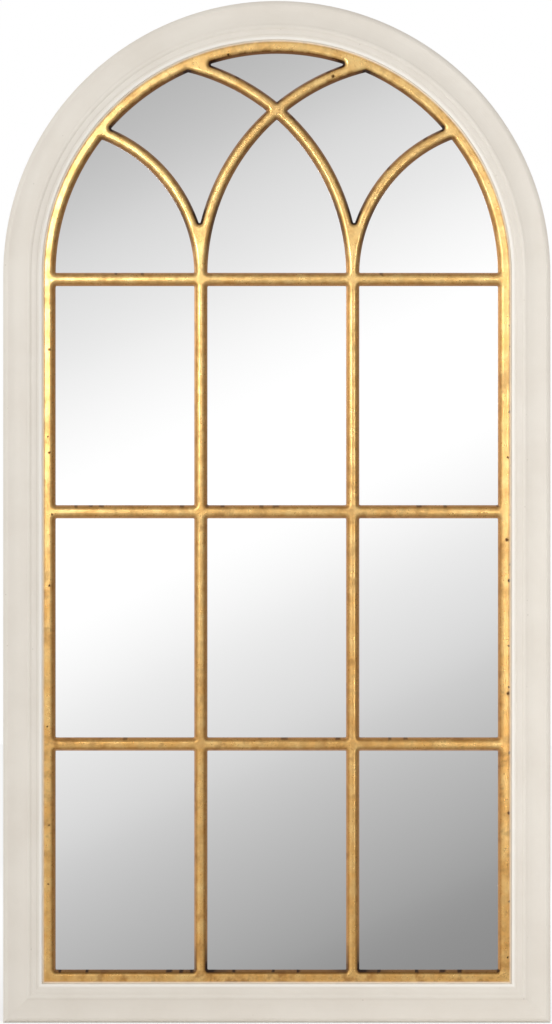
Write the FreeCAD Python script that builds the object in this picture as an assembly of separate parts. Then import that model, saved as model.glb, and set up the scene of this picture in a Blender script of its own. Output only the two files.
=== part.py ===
import FreeCAD
import Part

import math
import os

# An arched window mirror: a cream moulded frame, a gilded lattice of glazing bars, one sheet of mirror
# behind them, a back board held by turn buttons, and two strap hangers with swinging rings.
# Millimetres, X to the right, Z up, the front faces -Y and the wall is the plane Y = 0. The origin lies
# on the wall, midway between the two hooks that hold the raised rings.

# Overall size
OVERALL_WIDTH = 600.0
OVERALL_HEIGHT = 1120.0

# Frame moulding
FRAME_WIDTH = 42.5
FRAME_DEPTH = 22.0
RABBET_WIDTH = 9.0
OUTER_WALL_SHARE = 0.66
# Strokes across the front, from the outer face to the sight edge: a stroke of two points is an arc
# through the first to the second, a stroke of one point is a straight line to it. Each point is a share
# of the frame's width and a share of its depth.
MOULDING_SHARES = [
    [(0.04, 0.82), (0.13, 0.895)],
    [(0.36, 0.865), (0.60, 0.955)],
    [(0.66, 1.0), (0.72, 0.965)],
    [(0.735, 0.945)],
    [(0.80, 0.955), (0.866, 0.94)],
    [(0.88, 0.915)],
    [(0.95, 0.91), (1.0, 0.88)],
]

# Frame joints
DOWEL_DIAMETER = 8.0
DOWEL_LENGTH = 40.0
DOWEL_END_ROOM = 0.5
DOWEL_CHAMFER = 1.0
DOWEL_ACROSS_SHARES = [0.27, 0.60]
DOWEL_HEIGHT_SHARE = 0.40
V_NAIL_LEG = 6.0
V_NAIL_DEPTH = 10.0
V_NAIL_THICKNESS = 1.0
V_NAIL_SHARES = [0.22, 0.55]

# Sheets in the rabbet
BOARD_THICKNESS = 3.0
BOARD_GAP = 0.8
GLASS_THICKNESS = 4.0
GLASS_GAP = 2.0
BLOCK_LENGTH = 30.0
BLOCK_SIDE_SHARES = [0.12, 0.75]
BLOCK_FOOT_SHARES = [-0.25, 0.25]

# Lattice bars
BAR_WIDTH = 14.4
BAR_HEIGHT = 9.0
CROWN_WIDTH = 8.4
CROWN_ROUND = 4.6
RIM_SLOPE = 3.4
RIM_FALL = 1.2
EDGE_WALL = 1.6
CORNER_RADIUS = 1.3
SHOULDER_SHARE = 0.45
SIGHT_GAP = 0.2
TONGUE_THICKNESS = 3.0
TONGUE_GAP = 0.8
PANE_ROWS = 3
PANE_COLUMNS = 3
UPPER_BAR_DROP = 5.0
LONG_ARC_EASE = 13.5
FORK_SHARE = 1.4

# Lattice screws
LATTICE_SCREW_HEAD = 5.2
LATTICE_SCREW_HEAD_HEIGHT = 1.6
LATTICE_SCREW_DIAMETER = 2.8
LATTICE_SCREW_LENGTH = 10.0
LATTICE_SCREW_SIDE_SHARES = [0.12, 0.5, 0.88]
LATTICE_SCREW_FOOT_SHARES = [-0.25, 0.25]
LATTICE_SCREW_ARCH_ANGLES = [28.0, 70.0]

# Turn buttons
BUTTON_WIDTH = 12.0
BUTTON_REACH = 16.0
BUTTON_THICKNESS = 1.5
BUTTON_LIFT = 0.15
BUTTON_SETBACK = 10.0
BUTTON_SIDE_SHARES = [0.22, 0.62]
BUTTON_FOOT_SHARES = [-0.25, 0.25]
BUTTON_ARCH_ANGLES = [20.0, 66.0]

# Hangers
HANGER_DROP = 120.0
HANGER_INSET = 17.0
STRAP_WIDTH = 14.0
STRAP_THICKNESS = 1.2
STRAP_LENGTH = 52.0
STRAP_ROUND = 5.0
STRAP_SCREW_SHARES = [0.54, 0.85]
RING_WIRE = 3.0
RING_WIDTH = 22.0
RING_LENGTH = 20.0
RING_CORNER = 3.5
KNUCKLE_ROOM = 0.2

# Pan screws of the buttons and the hangers
PAN_SCREW_HEAD = 7.0
PAN_SCREW_HEAD_HEIGHT = 2.2
PAN_SCREW_DIAMETER = 3.2
PAN_SCREW_LENGTH = 14.0
SCREW_TIP_SHARE = 0.2
SCREW_ROOM = 0.05
BUTTON_SCREW_ROOM = 0.15
RECESS_WIDTH_SHARE = 0.16
RECESS_LENGTH_SHARE = 0.62
RECESS_DEPTH_SHARE = 0.55

# Wall bumpers
BUMPER_DIAMETER = 16.0
BUMPER_THICKNESS = 6.5
BUMPER_ROUND = 1.5
BUMPER_INSET = 17.0
BUMPER_FOOT_RISE = 48.0
BUMPER_ARCH_ANGLE = 43.0

# How far a cutting shape runs past what it cuts
OVERRUN = 2.0

# Heights are measured forward from the frame's back plane, insets inward from the frame's outer edge.
half_width = OVERALL_WIDTH / 2
knuckle_radius = RING_WIRE / 2 + KNUCKLE_ROOM + STRAP_THICKNESS
ring_reach = RING_LENGTH - RING_WIRE / 2
side_length = OVERALL_HEIGHT - half_width
pivot = -ring_reach
spring = pivot + HANGER_DROP
foot = spring - side_length

glass_back = BOARD_THICKNESS
lattice_back = glass_back + GLASS_THICKNESS
rabbet_depth = lattice_back + TONGUE_THICKNESS
crown = lattice_back + BAR_HEIGHT

rabbet_inset = FRAME_WIDTH - RABBET_WIDTH
rim_inset = FRAME_WIDTH + SIGHT_GAP + BAR_WIDTH / 2
rim_half = half_width - rim_inset
screw_inset = (rabbet_inset + TONGUE_GAP + FRAME_WIDTH + SIGHT_GAP) / 2
button_inset = rabbet_inset - BUTTON_SETBACK

column_pitch = 2 * rim_half / PANE_COLUMNS
muntin = rim_half - column_pitch
upper_bar = spring - UPPER_BAR_DROP
row_pitch = (upper_bar - foot - rim_inset) / PANE_ROWS
long_radius = rim_half - LONG_ARC_EASE
long_centre = long_radius - muntin
shoulder = BAR_WIDTH / 2 + SHOULDER_SHARE * CORNER_RADIUS

TOWARD_WALL = FreeCAD.Vector(0, 1, 0)
MIRROR_PLANE = FreeCAD.Vector(1, 0, 0)
ORIGIN = FreeCAD.Vector(0, 0, 0)


def point(x, z, height):
    """A point a given height in front of the frame's back plane."""
    return FreeCAD.Vector(x, -(BUMPER_THICKNESS + height), z)


def forward(length):
    """A step towards the front."""
    return TOWARD_WALL * -length


def outline(start, strokes):
    """A wire of lines to one point and arcs through one point to another."""
    edges = []
    last = start
    for stroke in strokes:
        if len(stroke) == 2:
            edges.append(Part.Arc(last, stroke[0], stroke[1]).toShape())
        else:
            edges.append(Part.LineSegment(last, stroke[0]).toShape())
        last = stroke[-1]
    return Part.Wire(edges)


def polygon(corners):
    """A closed wire of straight lines."""
    return Part.makePolygon(corners + corners[:1])


def prism(wire, length):
    """A flat outline drawn out towards the front."""
    return Part.Face(wire).extrude(forward(length))


def block(left, right, low, high, back, front):
    """A box between two heights in front of the back plane."""
    corners = [(left, low), (right, low), (right, high), (left, high)]
    return prism(polygon([point(x, z, back) for x, z in corners]), front - back)


def rod(x, z, radius, back, length):
    """A cylinder that points to the front."""
    return Part.makeCylinder(radius, length, point(x, z, back), forward(length))


def mirrored(shape):
    """The same piece on the other side."""
    return shape.mirror(ORIGIN, MIRROR_PLANE)


def on_arch(inset, angle):
    """The place at an angle round the arch, from its right end, at an inset."""
    radius = half_width - inset
    turn = math.radians(angle)
    return radius * math.cos(turn), spring + radius * math.sin(turn)


def arched_wire(inset, height):
    """The arch-topped outline at an inset inside the frame's outer edge."""
    half = half_width - inset
    low = foot + inset
    start = point(-half, low, height)
    strokes = [
        [point(half, low, height)],
        [point(half, spring, height)],
        [point(0, spring + half, height), point(-half, spring, height)],
        [start],
    ]
    return outline(start, strokes)


def foot_wedge():
    """The triangle under both mitre lines, through the whole depth."""
    reach = half_width + OVERRUN
    low = foot - OVERRUN
    corners = [point(-reach, low, -OVERRUN), point(reach, low, -OVERRUN), point(0, low + reach, -OVERRUN)]
    return prism(polygon(corners), FRAME_DEPTH + 2 * OVERRUN)


def moulding_face(place):
    """The moulding's section, where place puts a distance across and a height."""
    start = place(0, 0)
    strokes = [[place(0, OUTER_WALL_SHARE * FRAME_DEPTH)]]
    for stroke in MOULDING_SHARES:
        strokes.append([place(across * FRAME_WIDTH, height * FRAME_DEPTH) for across, height in stroke])
    strokes.append([place(FRAME_WIDTH, rabbet_depth)])
    strokes.append([place(rabbet_inset, rabbet_depth)])
    strokes.append([place(rabbet_inset, 0)])
    strokes.append([start])
    return Part.Face(outline(start, strokes))


def side_section():
    """The moulding's section at the left springing line."""
    return moulding_face(lambda across, height: point(-half_width + across, spring, height))


def frame_stile():
    """The left upright of the frame, mitred at its foot."""
    upright = side_section().extrude(FreeCAD.Vector(0, 0, -side_length))
    return upright.cut(foot_wedge())


def frame_rail():
    """The bottom of the frame, mitred at both ends."""
    section = moulding_face(lambda across, height: point(-half_width, foot + across, height))
    return section.extrude(FreeCAD.Vector(OVERALL_WIDTH, 0, 0)).common(foot_wedge())


def frame_arch():
    """The left quarter of the arch."""
    return side_section().revolve(FreeCAD.Vector(0, 0, spring), TOWARD_WALL, 90)


def dowel(centre, direction, room, end_room):
    """A chamfered dowel about its middle, or its hole when given room."""
    length = DOWEL_LENGTH + 2 * end_room
    start = centre - direction * (length / 2)
    pin = Part.makeCylinder(DOWEL_DIAMETER / 2 + room, length, start, direction)
    if room:
        return pin
    ends = [edge for edge in pin.Edges if edge.Curve.TypeId == "Part::GeomCircle"]
    return pin.makeChamfer(DOWEL_CHAMFER, ends)


def dowels(room, end_room):
    """The dowels across both springing lines and the crown joint."""
    height = DOWEL_HEIGHT_SHARE * FRAME_DEPTH
    up = FreeCAD.Vector(0, 0, 1)
    pins = []
    for share in DOWEL_ACROSS_SHARES:
        across = half_width - share * FRAME_WIDTH
        for side in (-1, 1):
            pins.append(dowel(point(side * across, spring, height), up, room, end_room))
        pins.append(dowel(point(0, spring + across, height), MIRROR_PLANE, room, end_room))
    return pins


def v_nails():
    """The angled fasteners pressed into the back of both mitres."""
    nails = []
    for share in V_NAIL_SHARES:
        x = -half_width + share * FRAME_WIDTH
        z = foot + share * FRAME_WIDTH
        corners = [
            (x, z),
            (x + V_NAIL_LEG, z),
            (x + V_NAIL_LEG, z + V_NAIL_THICKNESS),
            (x + V_NAIL_THICKNESS, z + V_NAIL_THICKNESS),
            (x + V_NAIL_THICKNESS, z + V_NAIL_LEG),
            (x, z + V_NAIL_LEG),
        ]
        nail = prism(polygon([point(a, b, 0) for a, b in corners]), V_NAIL_DEPTH)
        nails += [nail, mirrored(nail)]
    return nails


def screw(x, z, seat, head, head_height, diameter, length, sunk, room):
    """A screw along Y with a sunk cone head or a proud pan head, or its hole when given room."""
    head_radius = head / 2 + room
    shank = diameter / 2 + room
    tip = seat + length + room
    tip_start = tip - SCREW_TIP_SHARE * length
    if sunk:
        top = seat
        strokes = [[point(x + head_radius, z, top)], [point(x + shank, z, seat + head_height)]]
    else:
        top = seat - head_height
        dome = (head_radius + shank) / 2
        strokes = [
            [point(x + shank / 2, z, top)],
            [point(x + dome, z, top + head_height / 4), point(x + head_radius, z, seat)],
            [point(x + shank, z, seat)],
        ]
    start = point(x, z, top)
    strokes += [[point(x + shank, z, tip_start)], [point(x, z, tip)], [start]]
    body = Part.Face(outline(start, strokes)).revolve(start, TOWARD_WALL, 360)
    if room:
        return body
    wide = RECESS_WIDTH_SHARE * head / 2
    long = RECESS_LENGTH_SHARE * head / 2
    floor = top + RECESS_DEPTH_SHARE * head_height
    flat = block(x - long, x + long, z - wide, z + wide, top - OVERRUN, floor)
    upright = block(x - wide, x + wide, z - long, z + long, top - OVERRUN, floor)
    return body.cut(flat.fuse(upright))


def lattice_screws(room):
    """The screws that hold the lattice's tongue to the frame's lip."""
    places = [(share * OVERALL_WIDTH, foot + screw_inset) for share in LATTICE_SCREW_FOOT_SHARES]
    for side in (-1, 1):
        for share in LATTICE_SCREW_SIDE_SHARES:
            places.append((side * (half_width - screw_inset), foot + share * side_length))
        for angle in LATTICE_SCREW_ARCH_ANGLES:
            x, z = on_arch(screw_inset, angle)
            places.append((side * x, z))
    return [
        screw(
            x,
            z,
            lattice_back,
            LATTICE_SCREW_HEAD,
            LATTICE_SCREW_HEAD_HEIGHT,
            LATTICE_SCREW_DIAMETER,
            LATTICE_SCREW_LENGTH,
            True,
            room,
        )
        for x, z in places
    ]


def pan_screw(x, z, seat, room):
    """A pan-headed screw whose head sits at a height."""
    return screw(
        x,
        z,
        seat,
        PAN_SCREW_HEAD,
        PAN_SCREW_HEAD_HEIGHT,
        PAN_SCREW_DIAMETER,
        PAN_SCREW_LENGTH,
        False,
        room,
    )


def button_places():
    """Each turn button's pivot and the way it points, in degrees from +X towards +Z."""
    places = []
    for side, facing in ((-1, 0), (1, 180)):
        for share in BUTTON_SIDE_SHARES:
            places.append((side * (half_width - button_inset), foot + share * side_length, facing))
    for share in BUTTON_FOOT_SHARES:
        places.append((share * OVERALL_WIDTH, foot + button_inset, 90))
    for angle in BUTTON_ARCH_ANGLES:
        for turned in (angle, 180 - angle):
            x, z = on_arch(button_inset, turned)
            places.append((x, z, turned + 180))
    return places


def turn_button(x, z, facing):
    """A flat button with round ends, over the edge of the back board."""
    radius = BUTTON_WIDTH / 2
    back = -(BUTTON_LIFT + BUTTON_THICKNESS)
    start = point(0, radius, back)
    strokes = [
        [point(-radius, 0, back), point(0, -radius, back)],
        [point(BUTTON_REACH, -radius, back)],
        [point(BUTTON_REACH + radius, 0, back), point(BUTTON_REACH, radius, back)],
        [start],
    ]
    plate = prism(outline(start, strokes), BUTTON_THICKNESS)
    hole = PAN_SCREW_DIAMETER / 2 + BUTTON_SCREW_ROOM
    plate = plate.cut(rod(0, 0, hole, back - OVERRUN, BUTTON_THICKNESS + 2 * OVERRUN))
    plate.rotate(ORIGIN, TOWARD_WALL, -facing)
    plate.translate(FreeCAD.Vector(x, 0, z))
    return plate


def button_screws(room):
    """The pivot screws, which leave each button free to turn."""
    seat = -(BUTTON_THICKNESS + 2 * BUTTON_LIFT)
    return [pan_screw(x, z, seat, room) for x, z, facing in button_places()]


def hanger_strap():
    """The left strap: a plate whose upper end is rolled round the ring."""
    x = -half_width + HANGER_INSET
    left = x - STRAP_WIDTH / 2
    inner = knuckle_radius - STRAP_THICKNESS
    diagonal = math.sqrt(0.5)

    def place(rise, depth):
        return point(left, pivot + rise, -depth)

    start = place(-STRAP_LENGTH, 0)
    strokes = [
        [place(0, 0)],
        [place(knuckle_radius, knuckle_radius), place(0, 2 * knuckle_radius)],
        [
            place(-diagonal * knuckle_radius, knuckle_radius + diagonal * knuckle_radius),
            place(-knuckle_radius, knuckle_radius),
        ],
        [place(-inner, knuckle_radius)],
        [
            place(-diagonal * inner, knuckle_radius + diagonal * inner),
            place(0, knuckle_radius + inner),
        ],
        [place(inner, knuckle_radius), place(0, STRAP_THICKNESS)],
        [place(-STRAP_LENGTH, STRAP_THICKNESS)],
        [start],
    ]
    strap = Part.Face(outline(start, strokes)).extrude(FreeCAD.Vector(STRAP_WIDTH, 0, 0))
    lower = [edge for edge in strap.Edges if edge.BoundBox.ZMax < pivot - STRAP_LENGTH / 2]
    corners = [edge for edge in lower if edge.BoundBox.YLength > STRAP_THICKNESS / 2]
    return strap.makeFillet(STRAP_ROUND, corners).cut(Part.makeCompound(strap_screws(SCREW_ROOM)))


def strap_screws(room):
    """The two screws of the left strap."""
    x = -half_width + HANGER_INSET
    heights = [pivot - share * STRAP_LENGTH for share in STRAP_SCREW_SHARES]
    return [pan_screw(x, z, -STRAP_THICKNESS, room) for z in heights]


def hanger_ring():
    """The left ring, a bent wire with a straight bar in the strap's roll, hanging down."""
    x = -half_width + HANGER_INSET
    half = RING_WIDTH / 2
    straight = half - RING_CORNER
    bend = RING_CORNER * (1 - math.sqrt(0.5))

    def place(across, rise):
        return point(x + across, pivot + rise, -knuckle_radius)

    start = place(-straight, 0)
    strokes = [
        [place(straight, 0)],
        [place(half - bend, -bend), place(half, -RING_CORNER)],
        [place(half, half - RING_LENGTH)],
        [place(0, -RING_LENGTH), place(-half, half - RING_LENGTH)],
        [place(-half, -RING_CORNER)],
        [place(bend - half, -bend), start],
    ]
    section = Part.Wire(Part.makeCircle(RING_WIRE / 2, start, MIRROR_PLANE))
    return outline(start, strokes).makePipeShell([section], True, False)


def bumper(x, z):
    """A round wall bumper with a softened rear edge."""
    disc = rod(x, z, BUMPER_DIAMETER / 2, -BUMPER_THICKNESS, BUMPER_THICKNESS)
    rear = [edge for edge in disc.Edges if edge.BoundBox.YMin > -BUMPER_THICKNESS / 2]
    return disc.makeFillet(BUMPER_ROUND, rear)


def bumpers():
    """Two bumpers near the foot and two on the arch."""
    x, z = on_arch(BUMPER_INSET, BUMPER_ARCH_ANGLE)
    right = [bumper(half_width - BUMPER_INSET, foot + BUMPER_FOOT_RISE), bumper(x, z)]
    return right + [mirrored(piece) for piece in right]


def setting_blocks():
    """The packers that centre the glass between the walls of the rabbet."""
    half = BLOCK_LENGTH / 2
    wall = half_width - rabbet_inset
    low = foot + rabbet_inset
    blocks = []
    for share in BLOCK_FOOT_SHARES:
        x = share * OVERALL_WIDTH
        blocks.append(block(x - half, x + half, low, low + GLASS_GAP, glass_back, lattice_back))
    for share in BLOCK_SIDE_SHARES:
        z = foot + share * side_length
        packer = block(wall - GLASS_GAP, wall, z - half, z + half, glass_back, lattice_back)
        blocks += [packer, mirrored(packer)]
    return blocks


def disc(x, z, radius):
    """A round face in the plane of the lattice's back."""
    return Part.Face(Part.Wire(Part.makeCircle(radius, point(x, z, lattice_back), TOWARD_WALL)))


def rectangle(left, right, low, high):
    """A rectangular face in the plane of the lattice's back."""
    corners = [(left, low), (right, low), (right, high), (left, high)]
    return Part.Face(polygon([point(x, z, lattice_back) for x, z in corners]))


def pane_cores():
    """Each pane's face drawn in by the corner radius, so that growing it rounds its corners."""
    keep = BAR_WIDTH / 2 + CORNER_RADIUS
    cores = []
    for column in range(PANE_COLUMNS):
        left = -rim_half + column * column_pitch
        for row in range(PANE_ROWS):
            low = foot + rim_inset + row * row_pitch
            right = left + column_pitch
            high = low + row_pitch
            cores.append(rectangle(left + keep, right - keep, low + keep, high - keep))
    head = Part.Face(arched_wire(rim_inset + keep, lattice_back))
    head = head.common(rectangle(-half_width, half_width, upper_bar + keep, spring + half_width))
    inside = long_radius - keep
    outside = long_radius + keep
    middle = head
    peak = head
    for side in (-1, 1):
        middle = middle.common(disc(side * long_centre, spring, inside))
        peak = peak.cut(disc(side * long_centre, spring, outside))
        cores.append(head.common(disc(side * rim_half, spring, column_pitch - keep)))
        diamond = head.common(disc(side * long_centre, spring, inside))
        diamond = diamond.cut(disc(-side * long_centre, spring, outside))
        cores.append(diamond.cut(disc(side * rim_half, spring, column_pitch + keep)))
    return cores + [middle, peak]


def pane_cutter(core):
    """The space over one pane: an upright edge at the glass, then flanks that lean away."""
    flank = (BAR_WIDTH - CROWN_WIDTH) / 2
    rise = BAR_HEIGHT - EDGE_WALL
    lean = flank * (rise + OVERRUN) / rise
    wire = core.Faces[0].OuterWire
    edge = wire.makeOffset2D(CORNER_RADIUS)
    mouth = wire.makeOffset2D(CORNER_RADIUS + lean)
    levels = [
        edge.translated(forward(-OVERRUN)),
        edge.translated(forward(EDGE_WALL)),
        mouth.translated(forward(BAR_HEIGHT + OVERRUN)),
    ]
    return Part.makeLoft(levels, True, True)


def crown_edges(shape):
    """The edges that lie in the plane of the bars' crowns."""
    front = point(0, 0, crown).y
    return [edge for edge in shape.Edges if edge.BoundBox.YMax < front + EDGE_WALL / 2]


def lattice():
    """The whole gilded lattice with its tongue, before it is parted into bars."""
    outer = rim_inset - BAR_WIDTH / 2
    levels = [(outer, lattice_back), (outer, crown - RIM_FALL), (outer + RIM_SLOPE, crown)]
    rim = Part.makeLoft([arched_wire(inset, height) for inset, height in levels], True, True)
    rim = rim.makeFillet(CROWN_ROUND, crown_edges(rim))
    tongue = prism(arched_wire(rabbet_inset + TONGUE_GAP, lattice_back), TONGUE_THICKNESS)
    whole = rim.fuse(tongue).cut([pane_cutter(core) for core in pane_cores()])
    border = arched_wire(outer, crown)
    panes = [edge for edge in crown_edges(whole) if border.distToShape(edge)[0] > BAR_WIDTH / 2]
    return whole.makeFillet(CROWN_ROUND, panes)


def bow(side, margin):
    """The band of one long tracery arc, a margin either side of its centre line."""
    outer = disc(side * long_centre, spring, long_radius + margin)
    return outer.cut(disc(side * long_centre, spring, long_radius - margin))


def tidy(shape):
    """The solids of a shape, from the lowest up and from left to right."""
    return sorted(shape.Solids, key=lambda solid: (round(solid.CenterOfMass.z), solid.CenterOfMass.x))


def lattice_parts():
    """The lattice parted into its bars: rim, uprights, crossbars, forks and curved tracery."""
    back = lattice_back - OVERRUN
    depth = BAR_HEIGHT + 2 * OVERRUN
    front = back + depth
    whole = lattice()
    field = prism(arched_wire(rim_inset + shoulder, back), depth)
    rim = whole.cut(field).cut(Part.makeCompound(lattice_screws(SCREW_ROOM)))
    inner = whole.common(field)
    parts = {}

    upper = block(-half_width, half_width, spring, spring + half_width, back, front)
    left = block(-half_width, 0, foot, spring + half_width, back, front)
    arch = rim.common(upper)
    sides = rim.cut(upper)
    parts["rim_bottom"] = sides.common(foot_wedge())
    uprights = sides.cut(foot_wedge())
    parts["rim_left"] = uprights.common(left)
    parts["rim_right"] = uprights.cut(left)
    parts["rim_arch_left"] = arch.common(left)
    parts["rim_arch_right"] = arch.cut(left)

    grid_top = upper_bar + shoulder
    grid = inner.common(block(-half_width, half_width, foot, grid_top, back, front))
    for name, side in (("muntin_left", -1), ("muntin_right", 1)):
        strip = block(side * muntin - shoulder, side * muntin + shoulder, foot, grid_top, back, front)
        parts[name] = grid.common(strip)
        grid = grid.cut(strip)
    bars = iter(tidy(grid))
    for row in ("lower", "middle", "upper"):
        for column in ("left", "centre", "right"):
            parts[f"crossbar_{row}_{column}"] = next(bars)

    spread = 1 / (2 * column_pitch) + 1 / (2 * long_radius)
    fork_top = spring + FORK_SHARE * math.sqrt(BAR_WIDTH / spread)
    forks = inner.common(block(-half_width, half_width, grid_top, fork_top, back, front))
    parts["fork_left"], parts["fork_right"] = tidy(forks)
    arcs = inner.common(block(-half_width, half_width, fork_top, spring + half_width, back, front))
    crossed = bow(-1, BAR_WIDTH).cut(bow(1, shoulder))
    crossed = crossed.translated(forward(-OVERRUN)).extrude(forward(depth))
    left_arc, long_arcs, right_arc = sorted(arcs.Solids, key=lambda solid: solid.CenterOfMass.x)
    parts["tracery_short_left"] = left_arc
    parts["tracery_short_right"] = right_arc
    parts["tracery_long_through"] = long_arcs.cut(crossed)
    parts["tracery_long_lower"], parts["tracery_long_upper"] = tidy(long_arcs.common(crossed))
    return parts


def frame_parts():
    """The five lengths of the frame with every hole they carry."""
    straps = strap_screws(SCREW_ROOM)
    bores = dowels(SCREW_ROOM, DOWEL_END_ROOM) + v_nails() + straps + [mirrored(hole) for hole in straps]
    holes = Part.makeCompound(bores + lattice_screws(SCREW_ROOM) + button_screws(SCREW_ROOM))
    stile = frame_stile()
    arch = frame_arch()
    blanks = {
        "frame_stile_left": stile,
        "frame_stile_right": mirrored(stile),
        "frame_bottom_rail": frame_rail(),
        "frame_arch_left": arch,
        "frame_arch_right": mirrored(arch),
    }
    return {name: blank.cut(holes) for name, blank in blanks.items()}


def all_parts():
    """Every piece by its node's name."""
    parts = frame_parts()
    parts["frame_dowels"] = Part.makeCompound(dowels(0, 0))
    parts["corner_v_nails"] = Part.makeCompound(v_nails())
    parts.update(lattice_parts())
    parts["lattice_screws"] = Part.makeCompound(lattice_screws(0))
    parts["mirror_glass"] = prism(arched_wire(rabbet_inset + GLASS_GAP, glass_back), GLASS_THICKNESS)
    parts["glass_setting_blocks"] = Part.makeCompound(setting_blocks())
    parts["back_board"] = prism(arched_wire(rabbet_inset + BOARD_GAP, 0), BOARD_THICKNESS)
    for number, place in enumerate(button_places(), 1):
        parts[f"turn_button_{number}"] = turn_button(*place)
    parts["turn_button_screws"] = Part.makeCompound(button_screws(0))
    strap = hanger_strap()
    ring = hanger_ring()
    screws = strap_screws(0)
    parts["hanger_strap_left"] = strap
    parts["hanger_strap_right"] = mirrored(strap)
    parts["hanger_ring_left"] = ring
    parts["hanger_ring_right"] = mirrored(ring)
    parts["hanger_screws"] = Part.makeCompound(screws + [mirrored(piece) for piece in screws])
    parts["wall_bumpers"] = Part.makeCompound(bumpers())
    return parts


os.makedirs("parts", exist_ok=True)
for node, shape in all_parts().items():
    shape.exportStep(f"parts/{node}.step")
    print(node, len(shape.Solids), "solids", round(shape.Volume), "cubic mm")
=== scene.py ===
"""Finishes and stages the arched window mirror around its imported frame.

Metres, X to the right, Z up. The front faces -Y, the wall is the plane Y = 0.
"""

import logging
import math
from dataclasses import dataclass
from enum import Enum
from functools import partial, reduce
from typing import Any, ClassVar

import bpy
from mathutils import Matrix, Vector

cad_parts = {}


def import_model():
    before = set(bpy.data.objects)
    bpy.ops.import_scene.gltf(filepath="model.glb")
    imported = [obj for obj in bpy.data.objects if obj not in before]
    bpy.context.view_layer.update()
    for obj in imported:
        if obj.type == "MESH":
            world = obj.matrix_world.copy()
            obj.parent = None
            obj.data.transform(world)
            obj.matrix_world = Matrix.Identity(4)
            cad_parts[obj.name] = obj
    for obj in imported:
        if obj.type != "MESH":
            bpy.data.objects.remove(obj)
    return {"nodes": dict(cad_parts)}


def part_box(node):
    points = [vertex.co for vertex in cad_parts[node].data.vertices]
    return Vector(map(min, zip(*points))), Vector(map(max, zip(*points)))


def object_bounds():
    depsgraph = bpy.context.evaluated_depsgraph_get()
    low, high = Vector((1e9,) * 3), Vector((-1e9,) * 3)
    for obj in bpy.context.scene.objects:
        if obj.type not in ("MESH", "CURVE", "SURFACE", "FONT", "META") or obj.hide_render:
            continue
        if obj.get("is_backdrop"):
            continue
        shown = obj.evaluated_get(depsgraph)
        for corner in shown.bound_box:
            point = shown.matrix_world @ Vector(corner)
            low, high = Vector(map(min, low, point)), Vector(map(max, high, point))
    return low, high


LOG = logging.getLogger("window_mirror")

Colour = tuple[float, float, float]
Point = tuple[float, float, float]
Pair = tuple[float, float]
# Where a layer starts and where it is whole, or a strength at 0 and at 1.
Span = tuple[float, float]
# The pitch of scattered spots, their largest radius and how many cells hold one.
Scatter = tuple[float, float, float]
Socket = bpy.types.NodeSocket
Input = Socket | float | tuple[float, ...]
Inputs = dict[str | int, Input]


def srgb(red: int, green: int, blue: int) -> Colour:
    """Turns a screen colour into a linear one.

    Args:
        red: Red from 0 to 255.
        green: Green from 0 to 255.
        blue: Blue from 0 to 255.

    Returns:
        The linear colour, from 0 to 1.
    """

    def linear(level: int) -> float:
        """Undoes the screen curve of one channel."""
        share = level / 255
        return share / 12.92 if share <= 0.04045 else ((share + 0.055) / 1.055) ** 2.4

    return linear(red), linear(green), linear(blue)


class Run(Enum):
    """The way a length of moulding runs."""

    UPRIGHT = "upright"
    LEVEL = "level"
    ARCHED = "arched"


class Lights(Enum):
    """What a lamp lights."""

    GLOSS = "gloss"
    MATT = "matt"


class LampShape(Enum):
    """The outline of an area lamp, by Blender's names."""

    ROUND = "DISK"
    OBLONG = "RECTANGLE"


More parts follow.
